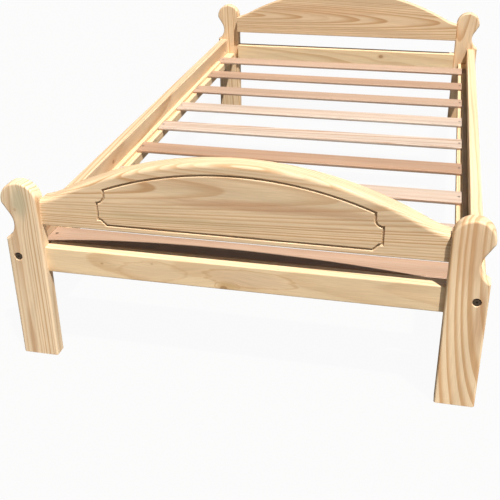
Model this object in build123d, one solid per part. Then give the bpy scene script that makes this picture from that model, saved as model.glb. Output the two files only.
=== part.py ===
from build123d import *
from math import acos, atan2, cos, degrees, hypot, radians, sin, sqrt
import os

# Slatted single bed frame in pine: two arched end frames, two bolted side rails with
# screwed-on ledgers, and a deck of slats. Millimetres, +Z up, +Y towards the head,
# origin on the floor under the middle of the bed.

# Overall sizes
bed_width = 1100.0             # over the outer edges of the posts
bed_length = 2010.0            # over the front faces of the two end frames
under_clearance = 230.0        # floor to the underside of the side rails

# End frames
stock = 36.0                   # board thickness of posts and end rails
panel_thickness = 45.0         # the panels stand further into the bed than the rails
post_width = 90.0
end_rail_height = 65.0
end_rail_lift = 3.0            # end rail's underside above that of the side rails
end_recess = 14.0              # rails and panels set back from the posts' front faces
panel_gap = 58.0               # open gap between an end rail and its panel
panel_end_height = 62.0        # panel height where it meets a post
crest_rise = 122.0             # middle of the panel above its ends
flare_radius = 185.0           # hollow curve that leads the arch into a post
flare_angle = 12.0             # slope of the panel's top where it meets a post
notch_depth = 24.5             # hollow below the round head of a post
notch_drop = 58.0              # deepest point of that hollow below the head's centre
notch_radius = 45.0
nose_angle = 8.0               # where the neck meets the head, below the head's centre

# Ornamental groove in the panel's front face
groove_width = 7.0
groove_floor = 1.6
groove_depth = 4.0
groove_half_length = 320.0
groove_top_margin = 27.0
groove_bottom_margin = 14.0
scallop_radius = 18.0
scallop_neck = 14.0
corner_cut = 14.0
corner_step = 6.0

# Side rails, ledgers, strips and slats
side_thickness = 30.0
side_height = 88.0
side_inset = 9.0               # side rail's outer face inside the post's outer edge
ledger_width = 30.0
ledger_height = 27.0
ledger_end_gap = 2.0
strip_width = 15.0             # strip glued on the ledger, between the first and last slats
strip_height = 11.0
strip_end_gap = 2.0
slat_count = 9
slat_width = 76.0
slat_thickness = 9.0
slat_end_gap = 1.0             # slat's end to the rail, or to the strip
foot_slat_offset = 112.0       # rail end to the middle of the first slat
head_slat_offset = 142.0       # middle of the last slat to the other rail end

# Hardware
bolt_diameter = 8.0
bolt_head_diameter = 17.0
bolt_head_height = 3.5
bolt_head_recess = 1.2         # head's face below the post's face
bolt_socket = 5.0
bolt_socket_depth = 2.4
bolt_past_nut = 9.0
nut_diameter = 12.0
nut_length = 24.0
nut_setback = 45.0             # rail end to the barrel nut's axis
nut_slot_width = 1.6
nut_slot_depth = 1.5
dowel_diameter = 10.0
dowel_in_post = 28.0
dowel_in_board = 32.0
dowel_edge_margin = 16.0       # dowel axis to the upper or lower edge of its board
locator_diameter = 8.0         # loose dowels beside each bolt
locator_in_post = 18.0
locator_in_rail = 22.0
locator_edge_margin = 16.0
screw_diameter = 4.0
screw_head_diameter = 8.0
screw_head_height = 2.6
screw_sink = 0.4               # screw head below the wood's surface
slat_screw_length = 30.0
ledger_screw_length = 50.0
cross_width = 1.1
cross_length = 4.4
cross_depth = 1.3

# Clearances and eased edges
glue_gap = 0.1                 # round a dowel, a screw or a barrel nut, on the radius
bolt_gap = 0.5                 # round a bolt's shank, on the radius
head_gap = 1.0                 # round a bolt's head, on the radius
end_gap = 1.5                  # beyond the free end of a dowel or a bolt
post_round = 5.0
panel_round = 10.0             # front edge of a panel's top
panel_back_round = 3.0         # back edge of a panel's top
board_round = 3.0
slat_round = 2.0
foot_chamfer = 1.5
bore_chamfer = 1.2             # round the mouth of a bolt's counterbore

# Places that follow from the sizes above
half_width = bed_width / 2
half_length = bed_length / 2
post_inner = half_width - post_width
side_length = bed_length - 2 * stock
side_outer = half_width - side_inset
side_inner = side_outer - side_thickness
side_top = under_clearance + side_height
ledger_top = under_clearance + ledger_height
slat_top = ledger_top + slat_thickness
end_rail_bottom = under_clearance + end_rail_lift
panel_bottom = end_rail_bottom + end_rail_height + panel_gap
panel_shoulder = panel_bottom + panel_end_height
panel_crest = panel_shoulder + crest_rise
board_front = -half_length + end_recess
joint_y = -half_length + (end_recess + stock) / 2
bolt_x = (side_outer + side_inner) / 2
bolt_z = under_clearance + side_height / 2
bolt_seat = bolt_head_recess + bolt_head_height
bolt_length = stock - bolt_seat + nut_setback + bolt_past_nut
nut_bore_depth = (side_thickness + nut_length) / 2
slat_pitch = (side_length - foot_slat_offset - head_slat_offset) / (slat_count - 1)
slat_places = [-side_length / 2 + foot_slat_offset + slat_pitch * i for i in range(slat_count)]
ledger_screw_places = [y + slat_pitch / 2 for y in slat_places[:-1]]
rail_dowel_heights = [end_rail_bottom + dowel_edge_margin,
                      end_rail_bottom + end_rail_height - dowel_edge_margin]
panel_dowel_heights = [panel_bottom + dowel_edge_margin,
                       panel_shoulder - dowel_edge_margin]
locator_heights = [under_clearance + locator_edge_margin,
                   under_clearance + side_height - locator_edge_margin]


def rod(radius, start, direction, length):
    """A cylinder from a point, along a direction."""
    plane = Plane(origin=start, z_dir=direction)
    return extrude(plane * Circle(radius), amount=length)


def block(x, y, z):
    """A box from its limits along X, Y and Z."""
    size = [limits[1] - limits[0] for limits in (x, y, z)]
    middle = [(limits[1] + limits[0]) / 2 for limits in (x, y, z)]
    return Pos(*middle) * Box(*size)


def eased(board, axis, radius):
    """The board with its four long edges rounded."""
    return fillet(board.edges().filter_by(axis), radius)


def slab(outline, front, thickness):
    """A closed outline drawn in X and Z, made into a board behind its front face."""
    face = make_face(Plane.XZ.offset(-front) * outline)
    return extrude(face, amount=thickness, dir=(0, 1, 0))


def mirrored(shape):
    """The same shape on the bed's left side."""
    return mirror(shape, about=Plane.YZ)


def at_head(shape):
    """The same shape at the head of the bed."""
    return mirror(shape, about=Plane.XZ)


def all_corners(shape):
    """One copy of the shape at each corner of the bed."""
    pair = [shape, mirrored(shape)]
    return pair + [at_head(each) for each in pair]


# Posts

def post_outline():
    """A leg with a hollow and a sloping neck cut in its outer edge under a round head."""
    head_radius = post_width / 2
    head_x = half_width - head_radius
    head_z = panel_shoulder
    notch_x = half_width - notch_depth + notch_radius
    notch_z = head_z - notch_drop
    nose = (head_x + head_radius * cos(radians(nose_angle)),
            head_z - head_radius * sin(radians(nose_angle)))
    reach = hypot(nose[0] - notch_x, nose[1] - notch_z)
    bearing = atan2(nose[1] - notch_z, nose[0] - notch_x) + acos(notch_radius / reach)
    join = (notch_x + notch_radius * cos(bearing), notch_z + notch_radius * sin(bearing))
    shoulder = (half_width, notch_z - sqrt(notch_radius**2 - (notch_x - half_width)**2))
    crown = (head_x + head_radius * cos(radians(45)), head_z + head_radius * sin(radians(45)))
    spring = (post_inner, head_z)
    leg = Polyline(spring, (post_inner, 0), (half_width, 0), shoulder)
    hollow = ThreePointArc(shoulder, (half_width - notch_depth, notch_z), join)
    head = ThreePointArc(nose, crown, spring)
    return Curve() + [leg, hollow, Line(join, nose), head]


def bolt_hole():
    """Counterbore and shank hole through a post, for the bolt at the right of the foot."""
    start = (bolt_x, -half_length, bolt_z)
    seat_radius = bolt_head_diameter / 2 + head_gap
    seat = rod(seat_radius, start, (0, 1, 0), bolt_seat)
    mouth = Cone(seat_radius + bore_chamfer, seat_radius, bore_chamfer)
    mouth = Plane(origin=start, z_dir=(0, 1, 0)) * Pos(0, 0, bore_chamfer / 2) * mouth
    return seat + mouth + rod(bolt_diameter / 2 + bolt_gap, start, (0, 1, 0), stock)


def locator_hole():
    """Holes for the loose dowels, into the post's back and the side rail's end."""
    start = -half_length + stock - locator_in_post
    length = locator_in_post + locator_in_rail + end_gap
    radius = locator_diameter / 2 + glue_gap
    return [rod(radius, (bolt_x, start, z), (0, 1, 0), length) for z in locator_heights]


def dowel_hole(heights):
    """Holes across the joint between the right post and an end board."""
    radius = dowel_diameter / 2 + glue_gap
    start = post_inner + dowel_in_post
    length = dowel_in_post + dowel_in_board + end_gap
    return [rod(radius, (start, joint_y, z), (-1, 0, 0), length) for z in heights]


def post():
    """The right post at the foot of the bed."""
    blank = slab(post_outline(), -half_length, stock)
    faces = blank.faces().filter_by(Axis.Y)
    rims = ShapeList([edge for face in faces for edge in face.edges()])
    shaped = fillet(rims.filter_by(lambda edge: edge.center().Z > foot_chamfer), post_round)
    foot = shaped.faces().sort_by(Axis.Z)[0]
    shaped = chamfer(foot.edges(), foot_chamfer)
    return shaped - bolt_hole() - locator_hole() - dowel_hole(rail_dowel_heights + panel_dowel_heights)


# End rails and panels

def end_rail():
    """The straight rail between the posts at the foot."""
    bar = block((-post_inner, post_inner), (board_front, board_front + stock),
                (end_rail_bottom, end_rail_bottom + end_rail_height))
    holes = dowel_hole(rail_dowel_heights)
    return eased(bar, Axis.X, board_round) - holes - [mirrored(hole) for hole in holes]


def arch():
    """Centre height and radius of the panel's main arch, tangent to the flares at its ends."""
    flare_x = post_inner + flare_radius * sin(radians(flare_angle))
    flare_z = panel_shoulder + flare_radius * cos(radians(flare_angle))
    above = flare_z - panel_crest
    radius = (flare_x**2 + above**2 - flare_radius**2) / (2 * (flare_radius - above))
    return panel_crest - radius, radius, flare_x, flare_z


def panel_outline():
    """Straight bottom, arched top, and a short hollow flare at each end."""
    centre, radius, flare_x, flare_z = arch()
    span = hypot(flare_x, flare_z - centre)
    join_x = radius * flare_x / span
    join_z = centre + radius * (flare_z - centre) / span
    middle_x = (join_x + post_inner) / 2
    middle_z = flare_z - sqrt(flare_radius**2 - (flare_x - middle_x)**2)
    crown = ThreePointArc((-join_x, join_z), (0, panel_crest), (join_x, join_z))
    right = ThreePointArc((join_x, join_z), (middle_x, middle_z), (post_inner, panel_shoulder))
    left = ThreePointArc((-post_inner, panel_shoulder), (-middle_x, middle_z), (-join_x, join_z))
    base = Polyline((post_inner, panel_shoulder), (post_inner, panel_bottom),
                    (-post_inner, panel_bottom), (-post_inner, panel_shoulder))
    return Curve() + [left, crown, right, base]


def groove_outline():
    """Centre line of the groove: an arch with scalloped upper and cut lower corners."""
    centre, radius, _, _ = arch()
    top_radius = radius - groove_top_margin
    neck_x = groove_half_length - scallop_radius
    neck_z = centre + sqrt(top_radius**2 - neck_x**2)
    scallop_z = neck_z - scallop_neck
    base_z = panel_bottom + groove_bottom_margin
    turn = scallop_radius * cos(radians(45))
    lines = [ThreePointArc((-neck_x, neck_z), (0, centre + top_radius), (neck_x, neck_z)),
             Line((-groove_half_length + corner_step + corner_cut, base_z),
                  (groove_half_length - corner_step - corner_cut, base_z))]
    for side in (1, -1):
        end = side * groove_half_length
        lines += [Line((side * neck_x, neck_z), (side * neck_x, scallop_z)),
                  ThreePointArc((side * neck_x, scallop_z), (end - side * turn, scallop_z - turn),
                                (end, scallop_z - scallop_radius)),
                  Polyline((end, scallop_z - scallop_radius), (end, base_z + corner_cut),
                           (end - side * corner_step, base_z + corner_cut),
                           (end - side * (corner_step + corner_cut), base_z))]
    return Curve() + lines


def groove():
    """The cut itself: sloping sides down to a narrow floor."""
    slope = (groove_width - groove_floor) / 2
    angle = degrees(atan2(slope, groove_depth))
    plane = Plane(origin=(0, board_front, 0), x_dir=(1, 0, 0), z_dir=(0, -1, 0))
    field = make_face(groove_outline())
    outer = offset(field, amount=groove_width / 2, kind=Kind.INTERSECTION)
    inner = offset(field, amount=-groove_width / 2, kind=Kind.INTERSECTION)
    cut = extrude(plane * outer, amount=-groove_depth, taper=angle)
    core = extrude(plane * inner, amount=-groove_depth, taper=-angle)
    return cut - core


def panel():
    """The arched panel between the posts at the foot."""
    board = slab(panel_outline(), board_front, panel_thickness)
    for place, radius in ((0, panel_round), (-1, panel_back_round)):
        rim = board.faces().filter_by(Axis.Y).sort_by(Axis.Y)[place].edges()
        board = fillet(rim.filter_by(lambda edge: edge.center().Z > panel_shoulder), radius)
    base = board.edges().filter_by(Axis.X)
    board = fillet(base.filter_by(lambda edge: edge.center().Z < panel_bottom + 1), board_round)
    holes = dowel_hole(panel_dowel_heights)
    return board - holes - [mirrored(hole) for hole in holes] - groove()


# Side rails, ledgers, strips and slats

def side_rail():
    """The right rail, butted between the posts' backs and drilled at both ends."""
    bar = eased(block((side_inner, side_outer), (-side_length / 2, side_length / 2),
                      (under_clearance, side_top)), Axis.Y, board_round)
    start = -half_length + stock
    bolt_bore = rod(bolt_diameter / 2 + bolt_gap, (bolt_x, start, bolt_z), (0, 1, 0),
                    nut_setback + bolt_past_nut + end_gap)
    nut_bore = rod(nut_diameter / 2 + glue_gap, (side_inner, start + nut_setback, bolt_z),
                   (1, 0, 0), nut_bore_depth)
    holes = [bolt_bore, nut_bore] + locator_hole()
    return bar - holes - [at_head(hole) for hole in holes] - ledger_screw_holes()


def ledger():
    """The right batten along the foot of the side rail's inner face."""
    end = side_length / 2 - ledger_end_gap
    bar = block((side_inner - ledger_width, side_inner), (-end, end),
                (under_clearance, ledger_top))
    upper = bar.edges().filter_by(Axis.Y).group_by(Axis.X)[0]
    return fillet(upper, slat_round) - ledger_screw_holes() - slat_screw_holes(slat_places)


def strip():
    """The strip on the right ledger that the inner slats' ends stop against."""
    clear = slat_width / 2 + strip_end_gap
    bar = block((side_inner - strip_width, side_inner),
                (slat_places[0] + clear, slat_places[-1] - clear),
                (ledger_top, ledger_top + strip_height))
    return fillet(bar.edges().filter_by(Axis.Y).group_by(Axis.Z)[-1], slat_round)


def slat_half_length(y):
    """The first and last slats reach to the rails, the others to the strips."""
    whole = y in (slat_places[0], slat_places[-1])
    return side_inner - (0 if whole else strip_width) - slat_end_gap


def slat(y):
    """One slat, resting on both ledgers."""
    end = slat_half_length(y)
    bar = block((-end, end), (y - slat_width / 2, y + slat_width / 2), (ledger_top, slat_top))
    holes = slat_screw_holes([y])
    return eased(bar, Axis.X, slat_round) - holes - [mirrored(hole) for hole in holes]


# Screws, bolts, nuts and dowels

def screw(start, direction, length):
    """A countersunk wood screw, from the middle of its head along its shank."""
    plane = Plane(origin=start, z_dir=direction)
    cone = Pos(0, 0, screw_head_height / 2) * Cone(screw_head_diameter / 2, screw_diameter / 2,
                                                  screw_head_height)
    body = cone + Pos(0, 0, length / 2) * Cylinder(screw_diameter / 2, length)
    bars = [Box(cross_length, cross_width, 2 * cross_depth),
            Box(cross_width, cross_length, 2 * cross_depth)]
    return plane * (body - bars)


def screw_hole(start, direction, length):
    """The hole that the same screw sits in, as deep as the screw is long."""
    plane = Plane(origin=start, z_dir=direction)
    head_radius = screw_head_diameter / 2 + glue_gap
    shank_radius = screw_diameter / 2 + glue_gap
    mouth = Pos(0, 0, -screw_sink / 2) * Cylinder(head_radius, screw_sink)
    cone = Pos(0, 0, screw_head_height / 2) * Cone(head_radius, shank_radius, screw_head_height)
    return plane * (mouth + cone + Pos(0, 0, length / 2) * Cylinder(shank_radius, length))


def slat_screw_starts(places):
    """Head centres of the screws at the right ends of the slats, midway over the ledger."""
    inner = side_inner - ledger_width
    return [((inner + slat_half_length(y)) / 2, y, slat_top - screw_sink) for y in places]


def ledger_screw_starts():
    """Head centres of the screws that hold the right ledger, one between each two slats."""
    x = side_inner - ledger_width + screw_sink
    return [(x, y, under_clearance + ledger_height / 2) for y in ledger_screw_places]


def slat_screw_holes(places):
    return [screw_hole(start, (0, 0, -1), slat_screw_length)
            for start in slat_screw_starts(places)]


def ledger_screw_holes():
    return [screw_hole(start, (1, 0, 0), ledger_screw_length)
            for start in ledger_screw_starts()]


def both_sides(shapes):
    """The shapes and their copies on the bed's left side, as one group of solids."""
    return Compound(children=shapes + [mirrored(shape) for shape in shapes])


def bolt():
    """A flat-headed socket bolt, through a post into the end of a side rail."""
    seat_y = -half_length + bolt_head_recess
    head = rod(bolt_head_diameter / 2, (bolt_x, seat_y, bolt_z), (0, 1, 0), bolt_head_height)
    head = fillet(head.edges().sort_by(Axis.Y)[0], 0.8)
    shank = rod(bolt_diameter / 2, (bolt_x, seat_y + bolt_head_height, bolt_z), (0, 1, 0),
                bolt_length)
    face = Plane(origin=(bolt_x, seat_y, bolt_z), z_dir=(0, 1, 0))
    hexagon = RegularPolygon(bolt_socket / 2, 6, major_radius=False)
    return head + shank - extrude(face * hexagon, amount=bolt_socket_depth)


def barrel_nut():
    """A slotted cross dowel that the bolt threads into, let in from the rail's inner face."""
    start = side_inner + nut_bore_depth - nut_length
    y = -half_length + stock + nut_setback
    body = rod(nut_diameter / 2, (start, y, bolt_z), (1, 0, 0), nut_length)
    thread = rod(bolt_diameter / 2 + glue_gap, (bolt_x, y - nut_diameter, bolt_z), (0, 1, 0),
                 2 * nut_diameter)
    slot = block((start, start + nut_slot_depth), (y - nut_diameter, y + nut_diameter),
                 (bolt_z - nut_slot_width / 2, bolt_z + nut_slot_width / 2))
    return body - thread - slot


def locators():
    """The two loose dowels beside the bolt at the right of the foot."""
    start = -half_length + stock - locator_in_post
    length = locator_in_post + locator_in_rail
    return [rod(locator_diameter / 2, (bolt_x, start, z), (0, 1, 0), length)
            for z in locator_heights]


def frame_dowels():
    """The glued dowels between the right post at the foot and its rail and panel."""
    start = post_inner + dowel_in_post
    length = dowel_in_post + dowel_in_board
    return [rod(dowel_diameter / 2, (start, joint_y, z), (-1, 0, 0), length)
            for z in rail_dowel_heights + panel_dowel_heights]


# The whole bed, one node for each piece and one for each set of equal fasteners

nodes = {"foot_right_post": post(), "foot_rail": end_rail(), "foot_panel": panel()}
nodes["foot_left_post"] = mirrored(nodes["foot_right_post"])
for name in ("right_post", "left_post", "rail", "panel"):
    nodes["head_" + name] = at_head(nodes["foot_" + name])

for name, shape in (("side_rail", side_rail()), ("ledger", ledger()), ("slat_strip", strip())):
    nodes["right_" + name] = shape
    nodes["left_" + name] = mirrored(shape)

for i, y in enumerate(slat_places):
    nodes[f"slat_{i + 1:02d}"] = slat(y)

nodes["slat_screws"] = both_sides([screw(start, (0, 0, -1), slat_screw_length)
                                   for start in slat_screw_starts(slat_places)])
nodes["ledger_screws"] = both_sides([screw(start, (1, 0, 0), ledger_screw_length)
                                     for start in ledger_screw_starts()])
nodes["frame_bolts"] = Compound(children=all_corners(bolt()))
nodes["barrel_nuts"] = Compound(children=all_corners(barrel_nut()))
nodes["corner_locator_dowels"] = Compound(children=[each for shape in locators()
                                                    for each in all_corners(shape)])
nodes["foot_frame_dowels"] = both_sides(frame_dowels())
nodes["head_frame_dowels"] = at_head(both_sides(frame_dowels()))

os.makedirs("parts", exist_ok=True)
for name, shape in nodes.items():
    export_step(shape, f"parts/{name}.step")
    volume = sum(solid.volume for solid in shape.solids())
    print(f"{name}: {len(shape.solids())} solids, {volume / 1000:.1f} cm3")
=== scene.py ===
import bpy
from math import cos, pi, radians, sin
from mathutils import Matrix, Vector


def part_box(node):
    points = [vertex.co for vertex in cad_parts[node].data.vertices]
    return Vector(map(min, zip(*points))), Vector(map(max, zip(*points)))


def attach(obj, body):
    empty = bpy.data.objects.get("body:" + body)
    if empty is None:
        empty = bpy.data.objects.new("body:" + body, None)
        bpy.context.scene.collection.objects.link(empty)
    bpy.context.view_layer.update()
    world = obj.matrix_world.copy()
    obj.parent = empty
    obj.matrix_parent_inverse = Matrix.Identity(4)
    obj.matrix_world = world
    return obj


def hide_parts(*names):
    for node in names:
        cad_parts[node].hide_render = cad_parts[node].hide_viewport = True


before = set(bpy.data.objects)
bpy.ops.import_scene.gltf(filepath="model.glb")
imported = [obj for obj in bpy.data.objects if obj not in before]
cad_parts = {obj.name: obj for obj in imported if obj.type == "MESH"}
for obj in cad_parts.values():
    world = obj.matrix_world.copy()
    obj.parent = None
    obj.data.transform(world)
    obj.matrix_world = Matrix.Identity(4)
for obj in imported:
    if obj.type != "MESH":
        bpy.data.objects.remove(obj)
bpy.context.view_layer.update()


# small helpers for node trees

def put(tree, kind, **settings):
    # a node with some of its own settings
    node = tree.nodes.new(kind)
    for name, value in settings.items():
        setattr(node, name, value)
    return node


def feed(tree, socket, value):
    # a socket takes a link or a plain value
    if isinstance(value, bpy.types.NodeSocket):
        tree.links.new(value, socket)
    elif value is not None:
        socket.default_value = value


def calc(tree, operation, *terms, clamp=False):
    node = put(tree, "ShaderNodeMath", operation=operation, use_clamp=clamp)
    for socket, term in zip(node.inputs, terms):
        feed(tree, socket, term)
    return node.outputs[0]


def vec(tree, operation, *terms):
    node = put(tree, "ShaderNodeVectorMath", operation=operation)
    for socket, term in zip(node.inputs, terms):
        feed(tree, socket, term)
    return node.outputs[0]


def noise(tree, vector, seed, detail=2.0, rough=0.5):
    node = put(tree, "ShaderNodeTexNoise", noise_dimensions="4D")
    feed(tree, node.inputs["Vector"], vector)
    feed(tree, node.inputs["W"], seed)
    feed(tree, node.inputs["Scale"], 1.0)
    feed(tree, node.inputs["Detail"], detail)
    feed(tree, node.inputs["Roughness"], rough)
    return node.outputs[0]


def ramp(tree, value, low, high, toLow=0.0, toHigh=1.0):
    # a soft step from low to high
    node = put(tree, "ShaderNodeMapRange", interpolation_type="SMOOTHSTEP")
    for socket, term in zip(node.inputs, (value, low, high, toLow, toHigh)):
        feed(tree, socket, term)
    return node.outputs[0]


def mixColour(tree, amount, first, second, mode="MIX"):
    node = put(tree, "ShaderNodeMix", data_type="RGBA", blend_type=mode)
    feed(tree, node.inputs[0], amount)
    feed(tree, node.inputs[6], first)
    feed(tree, node.inputs[7], second)
    return node.outputs[2]


def shaderGroup(name, given, made):
    # given maps a socket's name to its kind and value, made maps a name to a kind
    tree = bpy.data.node_groups.new(name, "ShaderNodeTree")
    for label, (kind, value) in given.items():
        socket = tree.interface.new_socket(label, in_out="INPUT", socket_type="NodeSocket" + kind)
        if value is not None:
            socket.default_value = value
    for label, kind in made.items():
        tree.interface.new_socket(label, in_out="OUTPUT", socket_type="NodeSocket" + kind)
    return tree, put(tree, "NodeGroupInput").outputs, put(tree, "NodeGroupOutput").inputs


def socketOf(node, name):
    # halfWidth finds the input called Half Width
    return next(socket for socket in node.inputs
                if socket.name.replace(" ", "").lower() == name.lower())


def wire(tree, node, **fed):
    # feeds a node's inputs by name and gives its first output
    for name, value in fed.items():
        feed(tree, socketOf(node, name), value)
    return next(iter(node.outputs), None)


def place(tree, x=0.0, y=0.0, z=0.0):
    return wire(tree, put(tree, "ShaderNodeCombineXYZ"), x=x, y=y, z=z)


def parts(tree, vector):
    node = put(tree, "ShaderNodeSeparateXYZ")
    feed(tree, node.inputs[0], vector)
    return node.outputs


def squared(tree, value):
    return calc(tree, "MULTIPLY", value, value)


def useGroup(tree, group, **fed):
    node = put(tree, "ShaderNodeGroup", node_tree=group)
    wire(tree, node, **fed)
    return node.outputs


# wood figure: board coordinates have X across, Y through the thickness, Z along the grain

def makePineFigure():
    # rings round a pith that lies beside or behind the board
    tree, given, made = shaderGroup("pineFigure", {
        "Vector": ("Vector", None), "Seed": ("Float", 0.0),
        "Pith X": ("Float", 0.0), "Pith Y": ("Float", 0.06),
        "Lean X": ("Float", 0.0), "Lean Y": ("Float", 0.03),
        "Ring Width": ("Float", 0.006), "Wander": ("Float", 0.012)},
        {"Late": "Float", "Fibre": "Float", "Tone": "Float"})
    vector, seed = given["Vector"], given["Seed"]
    x, y, z = parts(tree, vector)
    slow = vec(tree, "MULTIPLY", vector, (9.0, 9.0, 1.7))
    squares = []
    for across, pith, lean, ownSeed in (
            (x, "Pith X", "Lean X", seed), (y, "Pith Y", "Lean Y", calc(tree, "ADD", seed, 7.3))):
        drift = calc(tree, "SUBTRACT", noise(tree, slow, ownSeed, 3.0, 0.45), 0.5)
        bend = calc(tree, "ADD", calc(tree, "MULTIPLY", z, given[lean]),
                    calc(tree, "MULTIPLY", drift, given["Wander"]))
        off = calc(tree, "ADD", calc(tree, "SUBTRACT", across, given[pith]), bend)
        squares.append(squared(tree, off))
    radius = calc(tree, "SQRT", calc(tree, "ADD", *squares))
    years = calc(tree, "DIVIDE", radius, given["Ring Width"])
    # wet and dry years: ring spacing varies slowly with the radius alone
    spread = noise(tree, place(tree, calc(tree, "MULTIPLY", years, 0.37), seed), 0.0)
    years = calc(tree, "ADD", years, calc(tree, "MULTIPLY", spread, 2.6))
    season = calc(tree, "FRACT", years)
    rise = ramp(tree, season, 0.30, 0.90)
    fall = ramp(tree, season, 0.90, 1.0, 1.0, 0.0)
    # each year's late wood has its own strength
    chance = put(tree, "ShaderNodeTexWhiteNoise", noise_dimensions="2D")
    feed(tree, chance.inputs["Vector"], place(tree, calc(tree, "FLOOR", years), seed))
    strength = ramp(tree, chance.outputs[0], 0.0, 1.0, 0.25, 1.0)
    late = calc(tree, "MULTIPLY", rise, fall)
    feed(tree, made["Late"], calc(tree, "MULTIPLY", late, strength))
    fine = vec(tree, "MULTIPLY", vector, (900.0, 900.0, 22.0))
    feed(tree, made["Fibre"], noise(tree, fine, seed, 3.0, 0.6))
    broad = vec(tree, "MULTIPLY", vector, (26.0, 26.0, 1.6))
    feed(tree, made["Tone"], noise(tree, broad, calc(tree, "ADD", seed, 3.1), 3.0))
    return tree


def makeKnotGroup():
    # grain flows round a branch that comes through the board's face
    tree, given, made = shaderGroup("knot", {
        "Vector": ("Vector", None), "Centre X": ("Float", 0.0), "Centre Z": ("Float", 0.0),
        "Size": ("Float", 0.006), "Reach": ("Float", 0.03), "Stretch": ("Float", 0.45)},
        {"Bend": "Float", "Knot": "Float", "Rim": "Float"})
    x, _, z = parts(tree, given["Vector"])
    offX = calc(tree, "SUBTRACT", x, given["Centre X"])
    offZ = calc(tree, "SUBTRACT", z, given["Centre Z"])
    squareX = squared(tree, offX)
    flow = calc(tree, "ADD", squareX, squared(tree, calc(tree, "MULTIPLY", offZ, given["Stretch"])))
    far = calc(tree, "DIVIDE", flow, squared(tree, given["Reach"]))
    near = calc(tree, "EXPONENT", calc(tree, "MULTIPLY", far, -1.0))
    feed(tree, made["Bend"], calc(tree, "MULTIPLY", offX, calc(tree, "MULTIPLY", near, -0.92)))
    squareZ = squared(tree, calc(tree, "MULTIPLY", offZ, 0.75))
    away = calc(tree, "SQRT", calc(tree, "ADD", squareX, squareZ))
    share = calc(tree, "DIVIDE", away, given["Size"])
    feed(tree, made["Knot"], ramp(tree, share, 0.75, 1.05, 1.0, 0.0))
    feed(tree, made["Rim"], calc(tree, "MULTIPLY", ramp(tree, share, 0.7, 1.0),
                                 ramp(tree, share, 1.0, 2.1, 1.0, 0.0)))
    return tree


def makeHandlingGroup():
    # faint planer ripple, small dents and grey finger marks
    tree, given, made = shaderGroup("handling", {
        "Vector": ("Vector", None), "Seed": ("Float", 0.0), "Ripple": ("Float", 0.0035)},
        {"Smudge": "Float", "Dent": "Float", "Ripple": "Float"})
    wide = vec(tree, "MULTIPLY", given["Vector"], (11.0, 11.0, 11.0))
    smudge = noise(tree, wide, given["Seed"], 4.0, 0.6)
    feed(tree, made["Smudge"], ramp(tree, smudge, 0.52, 0.78))
    cells = put(tree, "ShaderNodeTexVoronoi", voronoi_dimensions="4D", feature="F1")
    feed(tree, cells.inputs["Vector"], vec(tree, "MULTIPLY", given["Vector"], (70.0, 70.0, 26.0)))
    feed(tree, cells.inputs["W"], given["Seed"])
    feed(tree, cells.inputs["Scale"], 1.0)
    feed(tree, made["Dent"], ramp(tree, cells.outputs["Distance"], 0.05, 0.16, 1.0, 0.0))
    turns = calc(tree, "DIVIDE", parts(tree, given["Vector"])[2], given["Ripple"])
    feed(tree, made["Ripple"], calc(tree, "SINE", calc(tree, "MULTIPLY", turns, 2 * pi)))
    return tree


def makeStainGroup():
    # a soft, ragged patch of darker or redder wood, long with the grain
    tree, given, made = shaderGroup("stain", {
        "Vector": ("Vector", None), "Seed": ("Float", 0.0),
        "Centre X": ("Float", 0.0), "Centre Z": ("Float", 0.0),
        "Half Width": ("Float", 0.02), "Half Length": ("Float", 0.1), "Ragged": ("Float", 1.2)},
        {"Mask": "Float", "Outline": "Float"})
    x, _, z = parts(tree, given["Vector"])
    squares = []
    for spot, middle, half in ((x, "Centre X", "Half Width"), (z, "Centre Z", "Half Length")):
        off = calc(tree, "SUBTRACT", spot, given[middle])
        squares.append(squared(tree, calc(tree, "DIVIDE", off, given[half])))
    streaks = vec(tree, "MULTIPLY", given["Vector"], (70.0, 70.0, 8.0))
    ragged = calc(tree, "SUBTRACT", noise(tree, streaks, given["Seed"], 4.0, 0.6), 0.5)
    away = calc(tree, "ADD", calc(tree, "SQRT", calc(tree, "ADD", *squares)),
                calc(tree, "MULTIPLY", ragged, given["Ragged"]))
    feed(tree, made["Mask"], ramp(tree, away, 0.3, 1.15, 1.0, 0.0))
    feed(tree, made["Outline"], calc(tree, "MULTIPLY", ramp(tree, away, 0.82, 0.95),
                                     ramp(tree, away, 0.96, 1.03, 1.0, 0.0)))
    return tree


pineFigure = makePineFigure()
knotGroup = makeKnotGroup()
stainGroup = makeStainGroup()
handlingGroup = makeHandlingGroup()
print("wood groups built")


# materials

pineTones = dict(early=(0.74, 0.60, 0.42, 1), late=(0.55, 0.36, 0.20, 1),
                 knot=(0.26, 0.13, 0.055, 1), smudge=(0.50, 0.44, 0.35, 1))
slatTones = dict(early=(0.56, 0.47, 0.395, 1), late=(0.40, 0.26, 0.185, 1),
                 heart=(0.32, 0.16, 0.075, 1), smudge=(0.46, 0.38, 0.32, 1))
boardFrames = dict(  # width, thickness and grain directions of each kind of board
    upright=((1, 0, 0), (0, 1, 0), (0, 0, 1)),
    across=((0, 0, -1), (0, 1, 0), (1, 0, 0)),
    lengthwise=((0, 0, 1), (1, 0, 0), (0, 1, 0)),
    laid=((0, 1, 0), (0, 0, 1), (1, 0, 0)))


def toned(tones, *share):
    # the same wood from a lighter, darker or warmer tree
    return {name: tuple(part * by for part, by in zip(colour, share)) + (1,)
            for name, colour in tones.items()}


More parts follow.
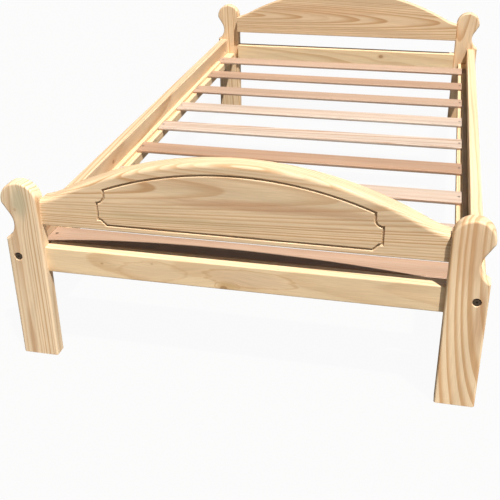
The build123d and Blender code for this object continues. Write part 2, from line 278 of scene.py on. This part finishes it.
def boardCoordinates(tree, kind, centre):
    # object coordinates turned so that Z runs along the grain
    mapping = put(tree, "ShaderNodeMapping", vector_type="TEXTURE")
    feed(tree, mapping.inputs["Vector"], put(tree, "ShaderNodeTexCoord").outputs["Object"])
    mapping.inputs["Location"].default_value = centre
    mapping.inputs["Rotation"].default_value = Matrix(boardFrames[kind]).transposed().to_euler()
    return mapping.outputs[0]


def paintedGrooveShadeMask(tree, board, face, floor, halfLength, base, rise):
    # painted shade in the routed groove: darker below the front face, clear of the panel's own edges
    x, y, z = parts(tree, board)
    inward = 1 if floor > face else -1
    below = calc(tree, "MULTIPLY", calc(tree, "SUBTRACT", y, face), inward)
    sunk = ramp(tree, below, 0.0004, 0.0025)
    within = calc(tree, "LESS_THAN", below, abs(floor - face) + 0.0004)
    ends = calc(tree, "LESS_THAN", calc(tree, "ABSOLUTE", z), halfLength)
    above = calc(tree, "LESS_THAN", x, base)
    arch = calc(tree, "MULTIPLY", squared(tree, z), rise)
    under = calc(tree, "GREATER_THAN", x, calc(tree, "SUBTRACT", arch, base))
    inside = calc(tree, "MULTIPLY", calc(tree, "MULTIPLY", within, ends),
                  calc(tree, "MULTIPLY", above, under))
    return calc(tree, "MULTIPLY", sunk, inside)


woodLook = dict(
    tintStart=0.39, tintRate=4.78, tintShare=0.8,  # how slats differ in tone
    # the groove share and colour paint shade into the routed groove
    rimShare=0.7, smudgeShare=0.10, grooveShare=0.38, grooveShade=(0.20, 0.11, 0.05, 1),
    roughSwing=0.12, ringHeight=0.35, dentHeight=1.2, rippleHeight=0.06,
    bumpStrength=0.35, bumpDistance=0.0006, specular=0.35)


def slatShift(tree, carried):
    # moves each slat to its own place in the log
    swings = [calc(tree, "MULTIPLY", calc(tree, "SINE", calc(tree, "MULTIPLY", carried, rate)), swing)
              for rate, swing in ((5.1, 0.045), (2.7, 0.035))]
    return place(tree, *swings)


def slatTint(tree, carried):
    # a share of redder wood, different for each slat
    start = calc(tree, "POWER", calc(tree, "ADD", carried, woodLook["tintStart"]), 2.0)
    tint = calc(tree, "FRACT", calc(tree, "MULTIPLY", start, woodLook["tintRate"]))
    return calc(tree, "MULTIPLY", tint, woodLook["tintShare"])


def addStains(tree, colour, tones, marks, seed, stains):
    for stain in stains:
        stain = dict(stain)
        tone, depth, line = stain.pop("tone"), stain.pop("depth"), stain.pop("line", 0.0)
        patch = useGroup(tree, stainGroup, vector=marks, seed=seed, **stain)
        colour = mixColour(tree, calc(tree, "MULTIPLY", patch["Mask"], depth), colour, tone)
        if line:  # the last ring of a cathedral, drawn round the patch
            outline = calc(tree, "MULTIPLY", patch["Outline"], line)
            colour = mixColour(tree, outline, colour, tones["late"])
    return colour


def pine(name, kind, centre, tones=pineTones, knots=(), stains=(), contrast=1.0, seed=0.0,
         roughness=0.5, seedName=None, groove=None, **figure):
    material = bpy.data.materials.new(name)
    material.use_nodes = True
    tree = material.node_tree
    shader = tree.nodes["Principled BSDF"]
    board = marks = boardCoordinates(tree, kind, centre)
    if seedName:  # boards made together carry their own seed
        carried = put(tree, "ShaderNodeAttribute", attribute_name=seedName).outputs["Fac"]
        seed = calc(tree, "ADD", carried, seed)
        board = vec(tree, "ADD", board, slatShift(tree, carried))
    spots, rims = [], []
    for knot in knots:
        knot = dict(knot)
        depth = knot.pop("depth")  # how dark the knot is
        branch = useGroup(tree, knotGroup, vector=board, **knot)
        board = vec(tree, "ADD", board, place(tree, branch["Bend"]))
        spots.append(calc(tree, "MULTIPLY", branch["Knot"], depth))
        rims.append(calc(tree, "MULTIPLY", branch["Rim"], woodLook["rimShare"] * depth))
    wood = useGroup(tree, pineFigure, vector=board, seed=seed, **figure)
    worn = useGroup(tree, handlingGroup, vector=marks, seed=seed)
    colour = mixColour(tree, calc(tree, "MULTIPLY", wood["Late"], contrast, clamp=True),
                       tones["early"], tones["late"])
    if seedName:
        colour = mixColour(tree, slatTint(tree, carried), colour, tones["heart"])
    colour = addStains(tree, colour, tones, marks, seed, stains)
    streak = ramp(tree, wood["Fibre"], 0.30, 0.72, 0.90, 1.07)
    shade = calc(tree, "MULTIPLY", streak, ramp(tree, wood["Tone"], 0.30, 0.70, 0.90, 1.08))
    grey = put(tree, "ShaderNodeCombineColor")
    for socket in grey.inputs:
        feed(tree, socket, shade)
    colour = mixColour(tree, 1.0, colour, grey.outputs[0], "MULTIPLY")
    for spot, rim in zip(spots, rims):
        colour = mixColour(tree, rim, colour, tones["late"])
        colour = mixColour(tree, spot, colour, tones["knot"])
    smudge = calc(tree, "MULTIPLY", worn["Smudge"], woodLook["smudgeShare"])
    colour = mixColour(tree, smudge, colour, tones["smudge"])
    if groove:
        # painted shade darkens the routed groove
        paintedGrooveShadow = calc(tree, "MULTIPLY", paintedGrooveShadeMask(tree, marks, **groove), woodLook["grooveShare"])
        colour = mixColour(tree, paintedGrooveShadow, colour, woodLook["grooveShade"])
    feed(tree, shader.inputs["Base Color"], colour)
    dull = calc(tree, "SUBTRACT", wood["Fibre"], wood["Late"])
    dull = calc(tree, "MULTIPLY", dull, woodLook["roughSwing"])
    feed(tree, shader.inputs["Roughness"], calc(tree, "ADD", roughness, dull))
    height = wood["Fibre"]
    for mask, rise in ((wood["Late"], woodLook["ringHeight"]), (worn["Dent"], -woodLook["dentHeight"]),
                       (worn["Ripple"], woodLook["rippleHeight"])):
        height = calc(tree, "ADD", height, calc(tree, "MULTIPLY", mask, rise))
    bump = put(tree, "ShaderNodeBump")
    bump.inputs["Strength"].default_value = woodLook["bumpStrength"]
    bump.inputs["Distance"].default_value = woodLook["bumpDistance"]
    feed(tree, bump.inputs["Height"], height)
    feed(tree, shader.inputs["Normal"], bump.outputs[0])
    shader.inputs["Specular IOR Level"].default_value = woodLook["specular"]
    return material


def steel(name, colour, roughness, metallic, grain=700.0):
    material = bpy.data.materials.new(name)
    material.use_nodes = True
    tree = material.node_tree
    shader = tree.nodes["Principled BSDF"]
    where = vec(tree, "MULTIPLY", put(tree, "ShaderNodeTexCoord").outputs["Object"], (grain,) * 3)
    rub = noise(tree, where, 1.0, 4.0, 0.6)
    dark = tuple(0.55 * part for part in colour[:3]) + (1,)
    shade = mixColour(tree, ramp(tree, rub, 0.35, 0.65), dark, colour)
    feed(tree, shader.inputs["Base Color"], shade)
    polish = ramp(tree, rub, 0.3, 0.7, roughness - 0.08, roughness + 0.12)
    feed(tree, shader.inputs["Roughness"], polish)
    shader.inputs["Metallic"].default_value = metallic
    bump = put(tree, "ShaderNodeBump")
    bump.inputs["Strength"].default_value = 0.2
    bump.inputs["Distance"].default_value = 0.0002
    feed(tree, bump.inputs["Height"], rub)
    feed(tree, shader.inputs["Normal"], bump.outputs[0])
    return material


def nodeCentre(node):
    low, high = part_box(node)
    return (low + high) / 2


def plainName(node, kind):
    # foot_left_post becomes footLeftPostWood
    first, *rest = node.split("_")
    return first + "".join(word.capitalize() for word in rest) + kind


def paint(node, material):
    # a CAD node keeps its mesh and takes the finish
    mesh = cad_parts[node].data
    mesh.materials.clear()
    mesh.materials.append(material)


warmStain, greyStain = (0.52, 0.29, 0.15, 1), (0.50, 0.45, 0.30, 1)
postWood = {  # where each post's board was cut from its log
    "foot_left_post": dict(
        pithX=-0.10, pithY=0.03, leanX=0.03, leanY=0.05, ringWidth=0.0075, contrast=1.4, seed=1.4,
        tones=toned(pineTones, 1.19, 1.14, 1.10),
        knots=(dict(centreX=-0.012, centreZ=0.165, size=0.003, reach=0.020, depth=0.35),),
        stains=(dict(centreX=0.0, centreZ=0.185, halfWidth=0.030, halfLength=0.05,
                     tone=greyStain, depth=0.68),
                dict(centreX=-0.022, centreZ=0.08, halfWidth=0.014, halfLength=0.16,
                     tone=warmStain, depth=0.40),
                dict(centreX=-0.016, centreZ=-0.20, halfWidth=0.010, halfLength=0.12,
                     tone=warmStain, depth=0.55))),
    "foot_right_post": dict(
        pithX=0.07, pithY=0.02, leanX=0.0, leanY=0.20, ringWidth=0.015, contrast=1.5, seed=4.2,
        tones=toned(pineTones, 1.15, 1.08, 1.0),
        stains=(dict(centreX=0.030, centreZ=0.0, halfWidth=0.016, halfLength=0.085,
                     tone=warmStain, depth=0.60),
                dict(centreX=0.0, centreZ=0.16, halfWidth=0.045, halfLength=0.11,
                     tone=warmStain, depth=0.42))),
    "head_left_post": dict(
        pithX=0.09, pithY=-0.05, leanX=0.02, leanY=-0.06, ringWidth=0.009, seed=6.1,
        tones=toned(pineTones, 1.08, 1.0, 0.92)),
    "head_right_post": dict(
        pithX=-0.02, pithY=0.07, leanX=0.03, leanY=0.08, ringWidth=0.011, seed=8.8,
        tones=toned(pineTones, 1.05, 0.98, 0.92),
        stains=(dict(centreX=-0.02, centreZ=-0.05, halfWidth=0.015, halfLength=0.12,
                     tone=warmStain, depth=0.45),))}
for post, cut in postWood.items():
    paint(post, pine(plainName(post, "Wood"), "upright", nodeCentre(post), **cut))

railTones = toned(pineTones, 1.10, 1.02, 0.90)
railWood = {
    "foot_rail": dict(
        kind="across", pithX=-0.01, pithY=0.10, leanX=0.01, leanY=0.05, ringWidth=0.012,
        contrast=0.75, seed=2.2, wander=0.022,
        knots=(dict(centreX=0.029, centreZ=-0.030, size=0.007, reach=0.045, stretch=0.6, depth=0.65),
               dict(centreX=-0.004, centreZ=-0.322, size=0.0028, reach=0.012, depth=0.45),
               dict(centreX=-0.016, centreZ=-0.199, size=0.0022, reach=0.012, depth=0.30)),
        stains=(dict(centreX=-0.001, centreZ=0.030, halfWidth=0.024, halfLength=0.105,
                     ragged=1.0, tone=(0.70, 0.50, 0.33, 1), depth=0.60, line=0.55),
                dict(centreX=0.022, centreZ=-0.022, halfWidth=0.012, halfLength=0.030,
                     ragged=0.8, tone=(0.60, 0.40, 0.19, 1), depth=0.80, line=0.6),
                dict(centreX=0.004, centreZ=-0.20, halfWidth=0.026, halfLength=0.085,
                     ragged=1.0, tone=(0.72, 0.53, 0.33, 1), depth=0.45, line=0.35),
                dict(centreX=0.0, centreZ=0.30, halfWidth=0.020, halfLength=0.13,
                     tone=(0.70, 0.50, 0.30, 1), depth=0.35))),
    "head_rail": dict(
        kind="across", pithX=0.03, pithY=-0.10, leanX=-0.01, leanY=0.04, ringWidth=0.011,
        contrast=0.9, seed=9.5,
        knots=(dict(centreX=-0.01, centreZ=0.16, size=0.007, reach=0.025, depth=0.7),)),
    "left_side_rail": dict(
        kind="lengthwise", pithX=0.03, pithY=-0.11, leanX=0.006, leanY=0.020, ringWidth=0.011,
        contrast=1.0, seed=3.3, tones=toned(railTones, 0.86, 0.84, 0.88),
        knots=(dict(centreX=0.012, centreZ=-0.42, size=0.006, reach=0.028, depth=0.7),
               dict(centreX=-0.020, centreZ=0.52, size=0.005, reach=0.020, depth=0.7)),
        stains=(dict(centreX=0.012, centreZ=-0.36, halfWidth=0.020, halfLength=0.12,
                     tone=warmStain, depth=0.35),)),
    "right_side_rail": dict(
        kind="lengthwise", pithX=-0.02, pithY=0.12, leanX=0.008, leanY=0.018, ringWidth=0.010,
        contrast=0.9, seed=5.7,
        knots=(dict(centreX=-0.015, centreZ=0.22, size=0.006, reach=0.022, depth=0.7),
               dict(centreX=0.018, centreZ=-0.61, size=0.007, reach=0.024, depth=0.7))),
    "left_ledger": dict(
        kind="lengthwise", pithX=0.05, pithY=0.04, leanY=0.01, ringWidth=0.006, seed=11.0),
    "right_ledger": dict(
        kind="lengthwise", pithX=-0.05, pithY=0.04, leanY=0.01, ringWidth=0.006, seed=12.5),
    "left_slat_strip": dict(
        kind="lengthwise", pithX=0.03, pithY=-0.05, ringWidth=0.005, seed=14.0),
    "right_slat_strip": dict(
        kind="lengthwise", pithX=-0.03, pithY=-0.05, ringWidth=0.005, seed=15.5)}
for rail, cut in railWood.items():
    cut = {"tones": railTones, **cut}
    paint(rail, pine(plainName(rail, "Wood"), centre=nodeCentre(rail), **cut))

panelTones = toned(pineTones, 1.0, 0.92, 0.84)
panelWood = {
    "foot_panel": dict(
        pithX=-0.028, pithY=0.05, leanX=0.006, leanY=-0.035, ringWidth=0.0050, wander=0.008,
        contrast=1.5, seed=7.7,
        stains=(dict(centreX=0.002, centreZ=0.05, halfWidth=0.016, halfLength=0.30,
                     tone=(0.50, 0.27, 0.15, 1), depth=0.60),
                dict(centreX=-0.040, centreZ=-0.10, halfWidth=0.018, halfLength=0.16,
                     tone=warmStain, depth=0.30),
                dict(centreX=0.050, centreZ=-0.15, halfWidth=0.012, halfLength=0.30,
                     tone=(0.48, 0.38, 0.20, 1), depth=0.30)),
        groove=dict(face=-0.0225, floor=-0.0185, halfLength=0.328, base=0.082, rise=0.62)),
    "head_panel": dict(
        pithX=0.02, pithY=-0.06, leanX=-0.012, leanY=0.04, ringWidth=0.006, wander=0.010,
        contrast=1.05, seed=13.1,
        stains=(dict(centreX=-0.01, centreZ=-0.10, halfWidth=0.025, halfLength=0.30,
                     tone=warmStain, depth=0.40),),
        groove=dict(face=0.0225, floor=0.0185, halfLength=0.328, base=0.082, rise=0.62))}
for panel, cut in panelWood.items():
    board = pine(plainName(panel, "Wood"), "across", nodeCentre(panel), tones=panelTones, **cut)
    paint(panel, board)

slatWood = pine("slatWood", "laid", (0, 0, 0), tones=slatTones, contrast=1.6, pithY=0.14,
                leanY=0.012, ringWidth=0.004, seed=20.0, roughness=0.62, seedName="slatSeed")
slatNodes = sorted(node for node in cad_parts
                   if node.startswith("slat_") and node != "slat_screws")
for node in slatNodes:
    paint(node, slatWood)

dowelWood = pine("dowelWood", "upright", (0, 0, 0), seed=31.0, ringWidth=0.003)
blackSteel = steel("blackSteel", (0.105, 0.075, 0.050, 1), 0.38, 0.35)
zincSteel = steel("zincSteel", (0.52, 0.50, 0.44, 1), 0.32, 1.0)
smallFinishes = {
    "frame_bolts": blackSteel, "slat_screws": blackSteel, "ledger_screws": blackSteel,
    "barrel_nuts": zincSteel, "corner_locator_dowels": dowelWood, "foot_frame_dowels": dowelWood,
    "head_frame_dowels": dowelWood}
for node, finish in smallFinishes.items():
    paint(node, finish)
print("materials on", len(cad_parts), "nodes")


# slats, screws and bolts, grown by geometry nodes

def geometryTree(name, sizes):
    # a tree with named sizes, a finish and a start geometry
    tree = bpy.data.node_groups.new(name, "GeometryNodeTree")
    tree.interface.new_socket("Geometry", in_out="INPUT", socket_type="NodeSocketGeometry")
    for label, value in sizes.items():
        kind = "NodeSocketInt" if isinstance(value, int) else "NodeSocketFloat"
        tree.interface.new_socket(label, in_out="INPUT", socket_type=kind).default_value = value
    tree.interface.new_socket("finish", in_out="INPUT", socket_type="NodeSocketMaterial")
    tree.interface.new_socket("Geometry", in_out="OUTPUT", socket_type="NodeSocketGeometry")
    return tree, put(tree, "NodeGroupInput").outputs


def endTree(tree, given, shape):
    # copies become real faces and take the finish
    real = wire(tree, put(tree, "GeometryNodeRealizeInstances"), geometry=shape)
    dressed = wire(tree, put(tree, "GeometryNodeSetMaterial"), geometry=real, material=given["finish"])
    wire(tree, put(tree, "NodeGroupOutput"), geometry=dressed)


def shifted(tree, shape, down):
    # the shape moved below its start by the given depth
    move = place(tree, z=calc(tree, "MULTIPLY", down, -1.0))
    return wire(tree, put(tree, "GeometryNodeTransform"), geometry=shape, translation=move)


def merge(tree, operation, first, *others):
    node = put(tree, "GeometryNodeMeshBoolean", operation=operation, solver="EXACT")
    if operation == "DIFFERENCE":
        tree.links.new(first, node.inputs["Mesh 1"])
    else:
        others = (first,) + others
    for other in reversed(others):
        tree.links.new(other, node.inputs["Mesh 2"])
    return node.outputs[0]


def slatTree(sizes):
    # one bar for each slat: an eased section drawn along a line that bows a little
    tree, given = geometryTree("slatRow", sizes)
    line = put(tree, "GeometryNodeCurvePrimitiveLine")
    line = wire(tree, line, start=(-1.0, 0.0, 0.0), end=(1.0, 0.0, 0.0))
    line = wire(tree, put(tree, "GeometryNodeResampleCurve"), curve=line, count=33)
    middle = calc(tree, "SUBTRACT", given["top"], calc(tree, "DIVIDE", given["thickness"], 2.0))
    spots = put(tree, "GeometryNodeMeshLine", mode="OFFSET")
    firstSpot, step = place(tree, y=given["first"], z=middle), place(tree, y=given["pitch"])
    spots = wire(tree, spots, count=given["count"], startLocation=firstSpot, offset=step)
    # the slats between the two end ones are shorter
    index = put(tree, "GeometryNodeInputIndex").outputs[0]
    last = calc(tree, "SUBTRACT", given["count"], 1.0)
    fromEnd = calc(tree, "MINIMUM", index, calc(tree, "SUBTRACT", last, index))
    inner = calc(tree, "GREATER_THAN", fromEnd, 0.5)
    shorter = calc(tree, "SUBTRACT", given["longHalf"], given["shortHalf"])
    half = calc(tree, "SUBTRACT", given["longHalf"], calc(tree, "MULTIPLY", inner, shorter))
    bars = wire(tree, put(tree, "GeometryNodeInstanceOnPoints"), points=spots, instance=line,
                scale=place(tree, half, 1.0, 1.0))
    own = calc(tree, "MULTIPLY_ADD", index, 1.7, 2.6)  # each slat's own seed
    keep = put(tree, "GeometryNodeStoreNamedAttribute", data_type="FLOAT", domain="INSTANCE")
    bars = wire(tree, keep, geometry=bars, name="slatSeed", value=own)
    bars = wire(tree, put(tree, "GeometryNodeRealizeInstances"), geometry=bars)
    # bow: none at the ends, most in the middle
    position = put(tree, "GeometryNodeInputPosition").outputs[0]
    share = calc(tree, "DIVIDE", parts(tree, position)[0], given["shortHalf"])
    free = calc(tree, "SUBTRACT", 1.0, calc(tree, "MINIMUM", squared(tree, share), 1.0))
    carried = put(tree, "GeometryNodeInputNamedAttribute", data_type="FLOAT")
    seed = calc(tree, "ADD", wire(tree, carried, name="slatSeed"), given["seed"])
    drift = noise(tree, vec(tree, "MULTIPLY", position, (1.6, 0.0, 0.0)), seed)
    sway = calc(tree, "MULTIPLY", calc(tree, "SUBTRACT", drift, 0.5), given["bow"])
    lift = calc(tree, "MULTIPLY", calc(tree, "SUBTRACT", calc(tree, "SINE", seed), 0.2), given["bow"])
    bend = place(tree, y=calc(tree, "MULTIPLY", sway, calc(tree, "MULTIPLY", free, 2.0)),
                 z=calc(tree, "MULTIPLY", lift, calc(tree, "MULTIPLY", free, 0.5)))
    bars = wire(tree, put(tree, "GeometryNodeSetPosition"), geometry=bars, offset=bend)
    bars = wire(tree, put(tree, "GeometryNodeSetCurveNormal", mode="Z_UP"), curve=bars)
    section = put(tree, "GeometryNodeCurvePrimitiveQuadrilateral", mode="RECTANGLE")
    section = wire(tree, section, width=given["width"], height=given["thickness"])
    eased = put(tree, "GeometryNodeFilletCurve")
    section = wire(tree, eased, curve=section, radius=given["edgeRound"])
    solid = put(tree, "GeometryNodeCurveToMesh")
    endTree(tree, given, wire(tree, solid, curve=bars, profileCurve=section, fillCaps=True))
    return tree


def fastenerTree(name, sizes, makeShape):
    # one fastener on each start point, turned to face the way that the point faces
    tree, given = geometryTree(name, sizes)
    facing = put(tree, "GeometryNodeInputNamedAttribute", data_type="FLOAT_VECTOR")
    facing = wire(tree, facing, name="facing")
    turned = put(tree, "FunctionNodeAlignRotationToVector", axis="Z")
    turned = wire(tree, turned, vector=facing)
    spin = put(tree, "FunctionNodeRandomValue", data_type="FLOAT")
    spin.inputs[3].default_value = 2 * pi  # the float maximum
    wire(tree, spin, seed=given["seed"])
    spun = put(tree, "FunctionNodeEulerToRotation")
    feed(tree, spun.inputs[0], place(tree, z=spin.outputs[1]))
    both = put(tree, "FunctionNodeRotateRotation", rotation_space="LOCAL")
    both = wire(tree, both, rotation=turned, rotateBy=spun.outputs[0])
    copies = put(tree, "GeometryNodeInstanceOnPoints")
    copies = wire(tree, copies, points=given["Geometry"], instance=makeShape(tree, given),
                  rotation=both)
    endTree(tree, given, copies)
    return tree


def shankShape(tree, given, sides, overlap):
    # a plain round shank that hangs from the start point
    shank = wire(tree, put(tree, "GeometryNodeMeshCylinder"), vertices=sides,
                 radius=given["shankRadius"], depth=given["length"])
    middle = calc(tree, "ADD", calc(tree, "DIVIDE", given["length"], 2.0), overlap)
    return shifted(tree, shank, middle)


def screwShape(tree, given):
    # countersunk head with a crossed recess, its face at the start point
    head = wire(tree, put(tree, "GeometryNodeMeshCone"), vertices=28, radiusTop=given["headRadius"],
                radiusBottom=given["shankRadius"], depth=given["headHeight"])
    head = shifted(tree, head, given["headHeight"])
    whole = merge(tree, "UNION", head, shankShape(tree, given, 14, 0.0004))
    deep = calc(tree, "MULTIPLY", given["crossDepth"], 2.0)
    bars = [wire(tree, put(tree, "GeometryNodeMeshCube"), size=place(tree, *size, deep))
            for size in ((given["crossLength"], given["crossWidth"]),
                         (given["crossWidth"], given["crossLength"]))]
    return merge(tree, "DIFFERENCE", whole, *bars)


def boltShape(tree, given):
    # flat head with a bevelled rim and a six-sided socket, its face at the start point
    inner = calc(tree, "SUBTRACT", given["headRadius"], given["rim"])
    rim = wire(tree, put(tree, "GeometryNodeMeshCone"), vertices=40, radiusBottom=given["headRadius"],
               radiusTop=inner, depth=given["rim"])
    rim = shifted(tree, rim, given["rim"])
    flange = calc(tree, "SUBTRACT", given["headHeight"], given["rim"])
    disc = wire(tree, put(tree, "GeometryNodeMeshCylinder"), vertices=40,
                radius=given["headRadius"], depth=flange)
    disc = shifted(tree, disc, calc(tree, "ADD", given["rim"], calc(tree, "DIVIDE", flange, 2.0)))
    socket = wire(tree, put(tree, "GeometryNodeMeshCylinder"), vertices=6,
                  radius=given["socketRadius"],
                  depth=calc(tree, "MULTIPLY", given["socketDepth"], 2.0))
    whole = merge(tree, "UNION", rim, disc, shankShape(tree, given, 20, 0.001))
    return merge(tree, "DIFFERENCE", whole, socket)


def grow(name, tree, starts, finish, sizes, *nodes):
    # the tree's result as a plain mesh that stands for the nodes
    mesh = bpy.data.meshes.new(name + "Starts")
    mesh.from_pydata([start for start, _ in starts], [], [])
    facing = mesh.attributes.new("facing", "FLOAT_VECTOR", "POINT")
    for spot, (_, way) in zip(facing.data, starts):
        spot.vector = way
    piece = bpy.data.objects.new(name, mesh)
    bpy.context.scene.collection.objects.link(piece)
    build = piece.modifiers.new("build", "NODES")
    build.node_group = tree
    sockets = {item.name: item.identifier for item in tree.interface.items_tree
               if item.in_out == "INPUT"}
    for label, value in dict(sizes, finish=finish).items():
        build[sockets[label]] = value
    ready = bpy.context.evaluated_depsgraph_get()
    grown = bpy.data.meshes.new_from_object(piece.evaluated_get(ready), depsgraph=ready,
                                            preserve_all_data_layers=True)
    piece.modifiers.clear()
    piece.data = grown
    grown.materials.clear()
    grown.materials.append(finish)
    grown.polygons.foreach_set("material_index", [0] * len(grown.polygons))
    grown.set_sharp_from_angle(angle=radians(32))
    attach(piece, "root")
    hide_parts(*nodes)
    print(name, "has", len(grown.polygons), "faces")


slatBoxes = [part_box(node) for node in slatNodes]
slatMiddles = [(low + high) / 2 for low, high in slatBoxes]
slatSizes = dict(
    count=len(slatNodes), first=slatMiddles[0].y,
    pitch=(slatMiddles[-1].y - slatMiddles[0].y) / (len(slatNodes) - 1),
    shortHalf=slatBoxes[1][1].x, longHalf=slatBoxes[0][1].x, width=0.076, thickness=0.009,
    top=slatBoxes[0][1].z, edgeRound=0.0022, bow=0.0015, seed=3)
grow("slatDeck", slatTree(slatSizes), [], slatWood, slatSizes, *slatNodes)

slatScrews = dict(
    headRadius=0.004, headHeight=0.0026, shankRadius=0.002, length=0.030,
    crossLength=0.0044, crossWidth=0.0011, crossDepth=0.0013, seed=5)
screwProud = 0.0002  # a head's face above its slat
ledgerLow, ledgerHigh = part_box("right_ledger")
slatStarts = [((side * (ledgerLow.x + high.x) / 2, (low.y + high.y) / 2, high.z + screwProud),
               (0.0, 0.0, 1.0)) for low, high in slatBoxes for side in (-1, 1)]
grow("slatScrews", fastenerTree("screws", slatScrews, screwShape), slatStarts, blackSteel, slatScrews,
     "slat_screws")

ledgerScrews = dict(slatScrews, length=0.050, seed=8)
ledgerSunk = 0.0004  # a head's face below the ledger's
ledgerFace, ledgerMiddle = ledgerLow.x + ledgerSunk, (ledgerLow.z + ledgerHigh.z) / 2
ledgerStarts = [((side * ledgerFace, (one.y + other.y) / 2, ledgerMiddle), (-side, 0.0, 0.0))
                for one, other in zip(slatMiddles, slatMiddles[1:]) for side in (-1, 1)]
grow("ledgerScrews", fastenerTree("ledgerRow", ledgerScrews, screwShape), ledgerStarts, zincSteel,
     ledgerScrews, "ledger_screws")

frameBolts = dict(
    headRadius=0.0085, headHeight=0.0035, rim=0.0008, shankRadius=0.004, length=0.085,
    socketRadius=0.0029, socketDepth=0.0024, seed=2)
boltLow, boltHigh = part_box("frame_bolts")
boltX, boltZ = boltHigh.x - frameBolts["headRadius"], (boltLow.z + boltHigh.z) / 2
boltStarts = [((side * boltX, end * boltHigh.y, boltZ), (0.0, end, 0.0))
              for side in (-1, 1) for end in (-1, 1)]
grow("boltHeads", fastenerTree("bolts", frameBolts, boltShape), boltStarts, blackSteel, frameBolts,
     "frame_bolts")


# room: floor, light and camera

room = dict(
    floorSize=80.0, floorColour=(0.20, 0.19, 0.18, 1), floorGlow=(1.0, 1.0, 1.0, 1), glowShare=0.95,
    skyColour=(0.86, 0.93, 1.0, 1), skyStrength=0.07, backdrop=(0.99, 0.99, 0.99, 1),
    sunStrength=6.6, sunSpread=1.2, sunColour=(1.0, 0.97, 0.92), sunFrom=(0.32, -0.34, 1.0),
    fillStrength=0.28, fillSpread=40.0, fillFrom=(0.35, -1.0, 0.25),
    backStrength=0.6, backFrom=(0.1, 1.0, 0.08))


def layFloor():
    half = room["floorSize"] / 2
    corners = [(-half, -half, 0), (half, -half, 0), (half, half, 0), (-half, half, 0)]
    mesh = bpy.data.meshes.new("floor")
    mesh.from_pydata(corners, [], [(0, 1, 2, 3)])
    floor = bpy.data.objects.new("floor", mesh)
    bpy.context.scene.collection.objects.link(floor)
    material = bpy.data.materials.new("paleFloor")
    material.use_nodes = True
    tree = material.node_tree
    shader = tree.nodes["Principled BSDF"]
    shader.inputs["Base Color"].default_value = room["floorColour"]
    shader.inputs["Roughness"].default_value = 0.8
    glow = put(tree, "ShaderNodeEmission")  # keeps the floor pale and its shadows faint
    glow.inputs["Color"].default_value = room["floorGlow"]
    blend = put(tree, "ShaderNodeMixShader")
    seen = put(tree, "ShaderNodeLightPath").outputs["Is Camera Ray"]
    feed(tree, blend.inputs[0], calc(tree, "MULTIPLY", seen, room["glowShare"]))
    feed(tree, blend.inputs[1], shader.outputs[0])
    feed(tree, blend.inputs[2], glow.outputs[0])
    feed(tree, tree.nodes["Material Output"].inputs["Surface"], blend.outputs[0])
    mesh.materials.append(material)


def hangSun(name, strength, spread, colour, source):
    sun = bpy.data.lights.new(name, "SUN")
    sun.energy = strength
    sun.angle = radians(spread)
    sun.color = colour
    lamp = bpy.data.objects.new(name, sun)
    lamp.rotation_euler = Vector(source).to_track_quat("Z", "Y").to_euler()
    bpy.context.scene.collection.objects.link(lamp)


def lightRoom():
    world = bpy.data.worlds.new("studio")
    bpy.context.scene.world = world
    world.use_nodes = True
    tree = world.node_tree
    sky = tree.nodes["Background"]
    sky.inputs["Color"].default_value = room["skyColour"]
    sky.inputs["Strength"].default_value = room["skyStrength"]
    wall = put(tree, "ShaderNodeBackground")
    wall.inputs["Color"].default_value = room["backdrop"]
    blend = put(tree, "ShaderNodeMixShader")
    feed(tree, blend.inputs[0], put(tree, "ShaderNodeLightPath").outputs["Is Camera Ray"])
    feed(tree, blend.inputs[1], sky.outputs[0])
    feed(tree, blend.inputs[2], wall.outputs[0])
    feed(tree, tree.nodes["World Output"].inputs["Surface"], blend.outputs[0])
    hangSun("sun", room["sunStrength"], room["sunSpread"], room["sunColour"], room["sunFrom"])
    hangSun("fill", room["fillStrength"], room["fillSpread"], room["skyColour"][:3], room["fillFrom"])
    hangSun("back", room["backStrength"], room["fillSpread"], room["skyColour"][:3], room["backFrom"])
    bpy.context.scene.view_settings.view_transform = "Standard"


camera = dict(place=(0.400, -2.573, 1.196), azimuth=13.07, elevation=-27.74, roll=-0.79, lens=59.9)


def setCamera():
    turn, tilt, roll = (radians(camera[part]) for part in ("azimuth", "elevation", "roll"))
    ahead = Vector((-sin(turn) * cos(tilt), cos(turn) * cos(tilt), sin(tilt)))
    right = ahead.cross(Vector((0, 0, 1))).normalized()
    up = right.cross(ahead)
    right, up = right * cos(roll) + up * sin(roll), up * cos(roll) - right * sin(roll)
    lens = bpy.data.cameras.new("camera")
    lens.lens = camera["lens"]
    lens.clip_end = 200.0
    body = bpy.data.objects.new("camera", lens)
    turned = Matrix((right, up, -ahead)).transposed().to_4x4()
    body.matrix_world = Matrix.Translation(camera["place"]) @ turned
    bpy.context.scene.collection.objects.link(body)
    bpy.context.scene.camera = body


layFloor()
lightRoom()
setCamera()
print("room ready")
